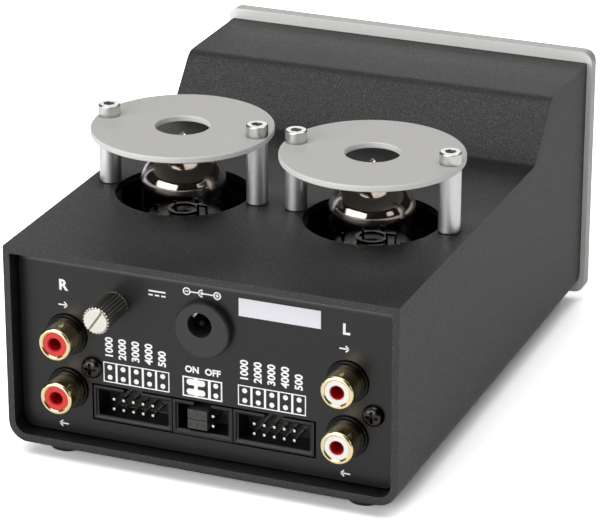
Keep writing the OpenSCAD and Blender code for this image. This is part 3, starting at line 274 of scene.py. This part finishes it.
finishOfNode = {
    "case_tray": powderCoat, "top_cover": powderCoat, "rear_panel": satinPaint, "front_plate": brushedPlate,
    "front_frame": zincSheet, "plate_screws": blackenedSteel, "feet": footRubber,
    "cover_pillars": turnedAluminium, "base_screws": blackenedSteel,
    "right_guard": blastedAluminium, "left_guard": blastedAluminium, "guard_posts": turnedAluminium,
    "guard_screws": brightZinc, "guard_nuts": brightZinc,
    "right_valve_glass": valveGlass, "left_valve_glass": valveGlass,
    "right_valve_getter": getterMirror, "left_valve_getter": getterMirror,
    "right_valve_electrodes": dullNickel, "left_valve_electrodes": dullNickel,
    "right_valve_socket": bakelite, "left_valve_socket": bakelite, "valve_pins": tinPlate,
    "right_jack_body": polishedMoulding, "left_jack_body": polishedMoulding,
    "right_jack_shells": goldPlate, "left_jack_shells": goldPlate,
    "right_jack_insulators": redPlastic, "left_jack_insulators": whitePlastic,
    "jack_cores": deepRedPlastic, "jack_contacts": goldPlate, "jack_screws": blackenedSteel,
    "right_header": blackNylon, "middle_header": blackNylon, "left_header": blackNylon,
    "header_pins": tinPlate, "upper_jumper": capNylon, "lower_jumper": capNylon,
    "upper_jumper_clip": tinPlate, "lower_jumper_clip": tinPlate,
    # The inlet's pin takes a nearly black colour of painted shade
    "inlet_body": satinPlastic, "inlet_pin": paintedShadeTin, "inlet_contact": tinPlate,
    "ground_screw": nickelPlate, "ground_washer": brightZinc, "ground_bush": rawBrass,
    "panel_label": stickerPaper, "main_board": boardLacquer, "board_spacers": rawBrass,
    "board_screws": brightZinc, "inlet_board": boardLacquer, "front_board": boardLacquer,
    "riser_pins": tinPlate, "filter_capacitors": canSleeve, "film_capacitors": filmBox,
    "op_amps": blackNylon, "resistors": resistorPaint, "power_switch": blackNylon,
    "power_button": turnedAluminium, "power_led": lampLens,
}
bodies = frame["record"]["behaviour"]["bodies"]
bodyOfNode = {node: body for body, members in bodies.items() for node in members}

for nodeName, finish in finishOfNode.items():
    for materialSlot in nodes[nodeName].material_slots:
        materialSlot.link = "OBJECT"
        materialSlot.material = finish
print("stage: CAD pieces finished")

# Edge radius in millimetres of each piece that is replaced by a softened copy; 0 only smooths its curves
edgeOfNode = {
    "case_tray": 0.25, "top_cover": 0.5, "rear_panel": 0.35, "front_plate": 0.5,
    "right_guard": 0.12, "left_guard": 0.12, "guard_posts": 0, "guard_screws": 0.12, "feet": 0,
    "right_jack_body": 0.2, "left_jack_body": 0.2, "right_jack_shells": 0, "left_jack_shells": 0,
    "right_jack_insulators": 0.15, "left_jack_insulators": 0.15, "jack_cores": 0.06, "jack_contacts": 0,
    "jack_screws": 0.08, "base_screws": 0.08, "plate_screws": 0,
    "right_header": 0.22, "middle_header": 0.22, "left_header": 0.22, "header_pins": 0.08,
    "upper_jumper": 0.18, "lower_jumper": 0.18, "inlet_body": 0.12, "inlet_pin": 0, "inlet_contact": 0.1,
    "ground_screw": 0.05, "ground_washer": 0.08, "power_button": 0, "power_led": 0,
    "right_valve_glass": 0, "left_valve_glass": 0, "right_valve_getter": 0, "left_valve_getter": 0,
    "right_valve_electrodes": 0.08, "left_valve_electrodes": 0.08,
    "right_valve_socket": 0.2, "left_valve_socket": 0.2, "guard_nuts": 0.1, "cover_pillars": 0,
    "filter_capacitors": 0, "film_capacitors": 0.3, "op_amps": 0.1, "resistors": 0,
}
softening = {"mergeMm": 0.001, "flatDegrees": 0.5, "segments": 2, "sharpDegrees": 38, "smoothDegrees": 32}


def camelName(nodeName):
    words = nodeName.split("_")
    return words[0] + "".join(word.capitalize() for word in words[1:])


# A merged copy of a solid, with its edges bevelled and its wide faces shaded flat beside them
def softenedCopy(nodeName, edgeMm):
    mesh = nodes[nodeName].data.copy()
    piece = bpy.data.objects.new(camelName(nodeName), mesh)
    scene.collection.objects.link(piece)
    pick(piece)
    if mesh.has_custom_normals:
        bpy.ops.mesh.customdata_custom_splitnormals_clear()
    bpy.ops.object.mode_set(mode="EDIT")
    bpy.ops.mesh.select_all(action="SELECT")
    bpy.ops.mesh.remove_doubles(threshold=softening["mergeMm"] * mm)
    bpy.ops.mesh.dissolve_limited(angle_limit=math.radians(softening["flatDegrees"]))
    bpy.ops.object.mode_set(mode="OBJECT")
    if edgeMm:
        bevel = piece.modifiers.new("softEdge", "BEVEL")
        bevel.width = edgeMm * mm
        bevel.segments = softening["segments"]
        bevel.limit_method = "ANGLE"
        bevel.angle_limit = math.radians(softening["sharpDegrees"])
        bevel.use_clamp_overlap = True
        bpy.ops.object.modifier_apply(modifier=bevel.name)
    bpy.ops.object.shade_smooth_by_angle(angle=math.radians(softening["smoothDegrees"]))
    if edgeMm:
        flatten = piece.modifiers.new("flatFaces", "WEIGHTED_NORMAL")
        flatten.keep_sharp = True
        bpy.ops.object.modifier_apply(modifier=flatten.name)
    finishPiece(piece, finishOfNode[nodeName], bodyOfNode[nodeName], (nodeName,))


for nodeName, edge in edgeOfNode.items():
    softenedCopy(nodeName, edge)
print("stage: edges softened")

# Printed legends are thin white shapes on the panel. Their places and sizes are in millimetres,
# from the case's middle towards +X and from its underside up
printed = []
inkMm = 0.04
underInkMm = 0.6 * inkMm                 # for a shape under another, so that no two faces lie together
weldMm = 0.0005
capitalShare = 0.7                       # height of a capital as a share of the text size
discCorners = 28
openShare = 0.35                         # a split ring is open past this share of its radius
# A flat shape stands on the panel and reads from behind
readingTurn = Matrix(((-1, 0, 0), (0, 0, 1), (0, 1, 0))).to_4x4()


def onPanel(piece, x, z, turn=0.0):
    piece.matrix_world = (Matrix.Translation((x * mm, panelY, caseZ + z * mm)) @ readingTurn
                          @ Matrix.Rotation(math.radians(turn), 4, "Z"))
    applyPlace(piece)
    printed.append(piece)


def selectWhere(piece, isWanted):
    bpy.ops.mesh.select_all(action="DESELECT")
    bpy.ops.object.mode_set(mode="OBJECT")
    for vertex in piece.data.vertices:
        vertex.select = isWanted(vertex.co)
    bpy.ops.object.mode_set(mode="EDIT")


def thicken(piece, thickness=inkMm):
    pick(piece)
    bpy.ops.object.mode_set(mode="EDIT")
    bpy.ops.mesh.select_all(action="SELECT")
    bpy.ops.mesh.extrude_region_move(TRANSFORM_OT_translate={"value": (0, 0, thickness * mm)})
    bpy.ops.mesh.select_all(action="SELECT")
    bpy.ops.mesh.normals_make_consistent(inside=False)
    bpy.ops.object.mode_set(mode="OBJECT")


def printWords(words, x, z, height, turn=0.0, boldMm=0.09, align="CENTER"):
    deselectAll()
    bpy.ops.object.text_add()
    piece = bpy.context.active_object
    piece.data.body = words
    piece.data.size = height * mm / capitalShare
    piece.data.align_x = align
    piece.data.align_y = "CENTER"
    piece.data.offset = boldMm * mm
    piece.data.extrude = inkMm * mm / 2
    piece.data.resolution_u = 3
    bpy.ops.object.convert(target="MESH")
    onPanel(bpy.context.active_object, x, z, turn)


def printRectangle(x, z, width, height, turn=0.0, thickness=inkMm):
    deselectAll()
    bpy.ops.mesh.primitive_plane_add(size=1)
    piece = bpy.context.active_object
    piece.scale = (width * mm, height * mm, 1)
    applyPlace(piece)
    thicken(piece, thickness)
    onPanel(piece, x, z, turn)


def printFrames(x, z, width, height, cells, line):
    deselectAll()
    bpy.ops.mesh.primitive_grid_add(x_subdivisions=cells, y_subdivisions=1, size=1)
    piece = bpy.context.active_object
    piece.scale = (width * mm, height * mm, 1)
    applyPlace(piece)
    bpy.ops.object.mode_set(mode="EDIT")
    bpy.ops.mesh.select_all(action="SELECT")
    bpy.ops.mesh.inset(thickness=line * mm, use_individual=True)
    bpy.ops.mesh.delete(type="FACE")
    bpy.ops.object.mode_set(mode="OBJECT")
    thicken(piece)
    onPanel(piece, x, z)


def printDisc(x, z, radius, hole=0.0, stretch=0.0, openSide=False):
    deselectAll()
    bpy.ops.mesh.primitive_circle_add(vertices=discCorners, radius=radius * mm, fill_type="NGON")
    piece = bpy.context.active_object
    bpy.ops.object.mode_set(mode="EDIT")
    if stretch:
        for side in (-1, 1):
            selectWhere(piece, lambda place: place.x * side > 0.01 * mm)
            bpy.ops.transform.translate(value=(side * stretch * mm, 0, 0))
    if hole:
        bpy.ops.mesh.select_all(action="SELECT")
        bpy.ops.mesh.inset(thickness=(radius - hole) * mm)
        bpy.ops.mesh.delete(type="FACE")
    if openSide:
        selectWhere(piece, lambda place: place.x > openShare * radius * mm)
        bpy.ops.mesh.delete(type="VERT")
    bpy.ops.object.mode_set(mode="OBJECT")
    thicken(piece)
    onPanel(piece, x, z)


# Jumper charts over the outer headers
jumperChart = {"middles": (17.9, -16.9), "bottom": 17.35, "top": 22.6, "pitch": 3.44, "line": 0.27,
               "dotRadius": 0.64, "dotGap": 2.54, "numberHeight": 1.9, "numberFoot": 23.7,
               "numbers": ("1000", "2000", "3000", "4000", "500")}
columnCount = len(jumperChart["numbers"])
cellMiddle = (jumperChart["bottom"] + jumperChart["top"]) / 2
cellHeight = jumperChart["top"] - jumperChart["bottom"]
for chartX in jumperChart["middles"]:
    printFrames(chartX, cellMiddle, columnCount * jumperChart["pitch"], cellHeight, columnCount,
                jumperChart["line"])
    for column, number in enumerate(jumperChart["numbers"]):
        cellX = chartX + ((columnCount - 1) / 2 - column) * jumperChart["pitch"]
        for row in (-0.5, 0.5):
            printDisc(cellX, cellMiddle + row * jumperChart["dotGap"], jumperChart["dotRadius"])
        printWords(number, cellX, jumperChart["numberFoot"], jumperChart["numberHeight"], turn=90, align="LEFT")

# Chart over the middle header: two bridged columns and a free one, with ON and OFF above
switchChart = {"left": 5.9, "divider": -1.0, "right": -4.3, "bottom": 17.25, "top": 22.45, "line": 0.35,
               "seam": 0.01, "pillWidth": 4.8, "pillHeight": 1.6, "pillGap": 2.5, "bridgeWidth": 1.0,
               "words": {"ON": 3.4, "OFF": -1.9}, "wordHeight": 1.6, "wordZ": 24.3}
cellMiddle = (switchChart["bottom"] + switchChart["top"]) / 2
cellHeight = switchChart["top"] - switchChart["bottom"]
bridgeX = (switchChart["left"] + switchChart["divider"]) / 2
freeX = (switchChart["divider"] + switchChart["right"]) / 2
for cellX, cellWidth in ((bridgeX, switchChart["left"] - switchChart["divider"]),
                         (freeX, switchChart["divider"] - switchChart["right"])):
    printFrames(cellX, cellMiddle, cellWidth - switchChart["seam"], cellHeight, 1, switchChart["line"])
for row in (-0.5, 0.5):
    pillZ = cellMiddle + row * switchChart["pillGap"]
    pillRadius = switchChart["pillHeight"] / 2
    printDisc(bridgeX, pillZ, pillRadius, stretch=switchChart["pillWidth"] / 2 - pillRadius)
    printDisc(freeX, pillZ, jumperChart["dotRadius"])
printRectangle(bridgeX, cellMiddle, switchChart["bridgeWidth"], cellHeight - switchChart["line"],
               thickness=underInkMm)
for word, wordX in switchChart["words"].items():
    printWords(word, wordX, switchChart["wordZ"], switchChart["wordHeight"])

# Channel letters
channelLetters = {"places": {"R": (36.6, 40.6), "L": (-35.4, 41.0)}, "height": 2.6, "boldMm": 0.14}
for letter, (letterX, letterZ) in channelLetters["places"].items():
    printWords(letter, letterX, letterZ, channelLetters["height"], boldMm=channelLetters["boldMm"])

# Arrows at the sockets, which point to -X for out (-1) and to +X for in (1)
signalArrows = {"places": ((36.7, 35.6, -1), (37.3, 4.4, 1), (-35.0, 36.2, -1), (-35.4, 4.4, 1)),
                "length": 2.4, "line": 0.34, "barbLength": 1.15, "barbX": 0.744, "barbZ": 0.38, "barbTurn": 42}
for arrowX, arrowZ, way in signalArrows["places"]:
    printRectangle(arrowX, arrowZ, signalArrows["length"], signalArrows["line"])
    for side in (-1, 1):
        printRectangle(arrowX + way * signalArrows["barbX"], arrowZ + side * signalArrows["barbZ"],
                       signalArrows["barbLength"], signalArrows["line"],
                       turn=side * way * signalArrows["barbTurn"])

# Direct current mark: a line over three dashes
directCurrent = {"x": 12.1, "lineZ": 42.9, "lineLength": 4.4, "dashZ": 41.9, "dashLength": 1.1,
                 "dashPitch": 1.65, "line": 0.4}
printRectangle(directCurrent["x"], directCurrent["lineZ"], directCurrent["lineLength"], directCurrent["line"])
for step in (-1, 0, 1):
    printRectangle(directCurrent["x"] + step * directCurrent["dashPitch"], directCurrent["dashZ"],
                   directCurrent["dashLength"], directCurrent["line"])

# Polarity mark: a minus and a plus ring, joined to a split ring with a dot
polarity = {"z": 44.25, "minusX": 4.5, "middleX": 0.6, "plusX": -3.25, "ring": 1.0, "line": 0.34,
            "dot": 0.42, "overlap": 0.1, "signLength": 0.9, "signLine": 0.3}
innerRing = polarity["ring"] - polarity["line"]
for ringX, isSplit in ((polarity["minusX"], False), (polarity["plusX"], False), (polarity["middleX"], True)):
    printDisc(ringX, polarity["z"], polarity["ring"], innerRing, openSide=isSplit)
printDisc(polarity["middleX"], polarity["z"], polarity["dot"])
barEnds = ((polarity["minusX"] - polarity["ring"], polarity["middleX"] + polarity["ring"]),
           (polarity["middleX"] - polarity["dot"], polarity["plusX"] + polarity["ring"]))
for start, end in barEnds:
    printRectangle((start + end) / 2, polarity["z"], start - end + polarity["overlap"], polarity["line"],
                   thickness=underInkMm)
for signX in (polarity["minusX"], polarity["plusX"]):
    printRectangle(signX, polarity["z"], polarity["signLength"], polarity["signLine"])
printRectangle(polarity["plusX"], polarity["z"], polarity["signLine"], polarity["signLength"],
               thickness=underInkMm)

pick(printed[0])
for piece in printed:
    piece.select_set(True)
bpy.ops.object.join()
panelPrint = bpy.context.active_object
panelPrint.name = "panelPrint"
pick(panelPrint)
bpy.ops.object.mode_set(mode="EDIT")
bpy.ops.mesh.select_all(action="SELECT")
bpy.ops.mesh.remove_doubles(threshold=weldMm * mm)
bpy.ops.object.mode_set(mode="OBJECT")
finishPiece(panelPrint, legendInk)
print("stage: legends printed")

# White paper floor, shown brighter to the camera than it lights the object
floorSettings = {"size": 6, "lit": 0.92, "mirrored": 1.1, "shown": 2.2}
deselectAll()
bpy.ops.mesh.primitive_plane_add(size=floorSettings["size"], location=(0, 0, 0))
floor = bpy.context.active_object
floor.name = "studioFloor"
paperFloor = newMaterial("paperFloor", "#f0f0f0", roughness=1.0)
rays = addNode(paperFloor, "ShaderNodeLightPath")
metalOrGlass = addNode(paperFloor, "ShaderNodeMath",
                       {0: rays.outputs["Is Glossy Ray"], 1: rays.outputs["Is Transmission Ray"]},
                       operation="MAXIMUM")
mirrored = addNode(paperFloor, "ShaderNodeMath", {0: metalOrGlass.outputs[0]},
                   {1: floorSettings["mirrored"] - floorSettings["lit"], 2: floorSettings["lit"]},
                   operation="MULTIPLY_ADD")
paperLevel = addNode(paperFloor, "ShaderNodeMath", {0: rays.outputs["Is Camera Ray"], 2: mirrored.outputs[0]},
                     {1: floorSettings["shown"] - floorSettings["lit"]}, operation="MULTIPLY_ADD")
paper = addNode(paperFloor, "ShaderNodeBsdfDiffuse", {"Color": paperLevel.outputs[0]})
paperOutput = paperFloor.node_tree.nodes["Material Output"]
paperFloor.node_tree.links.new(paper.outputs["BSDF"], paperOutput.inputs["Surface"])
floor.data.materials.append(paperFloor)

# Dark room, with a pale glowing backdrop on the far side of the object
world = bpy.data.worlds.new("studioWorld")
scene.world = world
world.use_nodes = True
world.node_tree.nodes["Background"].inputs["Color"].default_value = linearColour("#2a2827")
world.node_tree.nodes["Background"].inputs["Strength"].default_value = 1.0
backdropSettings = {"middle": (0.85, -1.6, 0.82), "width": 1.9, "height": 0.74, "glow": 1.15}
deselectAll()
bpy.ops.mesh.primitive_plane_add(size=1, location=backdropSettings["middle"], rotation=(math.radians(90), 0, 0))
backdrop = bpy.context.active_object
backdrop.name = "backdrop"
backdrop.scale = (backdropSettings["width"], backdropSettings["height"], 1)
backdropPaper = newMaterial("backdropPaper", "#dedede", roughness=1.0,
                            more={"Emission Strength": backdropSettings["glow"],
                                  "Emission Color": linearColour("#ffffff")})
backdrop.data.materials.append(backdropPaper)

# Softboxes in metres, aimed at the middle of the object. Azimuth is measured from its rear towards its
# +X side, and a box shines at its level, where 1 is white
aimHeight = 0.07
softboxes = {
    "keyBox": {"azimuth": 25, "elevation": 14.5, "distance": 1.5, "width": 1.7, "height": 0.74, "level": 4.05},
    "sideBox": {"azimuth": -72, "elevation": 16, "distance": 1.3, "width": 0.4, "height": 0.4, "level": 1.5},
    "overheadBox": {"azimuth": 30, "elevation": 67, "distance": 1.6, "width": 1.6, "height": 1.2, "level": 2.1},
    "farBox": {"azimuth": -125, "elevation": 63, "distance": 1.6, "width": 1.4, "height": 1.4, "level": 1.6},
}
for name, setting in softboxes.items():
    light = bpy.data.lights.new(name, "AREA")
    light.shape = "RECTANGLE"
    light.size = setting["width"]
    light.size_y = setting["height"]
    light.energy = setting["level"] * math.pi * setting["width"] * setting["height"]
    box = bpy.data.objects.new(name, light)
    scene.collection.objects.link(box)
    side, rise = math.radians(setting["azimuth"]), math.radians(setting["elevation"])
    toward = Vector((math.sin(side) * math.cos(rise), math.cos(side) * math.cos(rise), math.sin(rise)))
    box.location = Vector((0, 0, aimHeight)) + toward * setting["distance"]
    box.rotation_euler = (-toward).to_track_quat("-Z", "Y").to_euler()
    box.visible_camera = False

# The camera stands behind and above, at this distance in metres from the foot of the rear rim's middle
cameraSettings = {"fromRim": (-0.281785, 0.630810, 0.341623), "toward": (0.3472, -0.8555, -0.3841),
                  "lens": 195.07, "sensorWidth": 36, "nearest": 0.01, "farthest": 20}
camera = bpy.data.objects.new("camera", bpy.data.cameras.new("camera"))
scene.collection.objects.link(camera)
camera.data.sensor_fit = "HORIZONTAL"
camera.data.sensor_width = cameraSettings["sensorWidth"]
camera.data.lens = cameraSettings["lens"]
camera.data.clip_start = cameraSettings["nearest"]
camera.data.clip_end = cameraSettings["farthest"]
cameraX, cameraY, cameraZ = cameraSettings["fromRim"]
camera.location = (cameraX, rearRimY + cameraY, caseZ + cameraZ)
camera.rotation_euler = Vector(cameraSettings["toward"]).to_track_quat("-Z", "Y").to_euler()
scene.camera = camera
scene.view_settings.view_transform = "Standard"
print("stage: studio set")
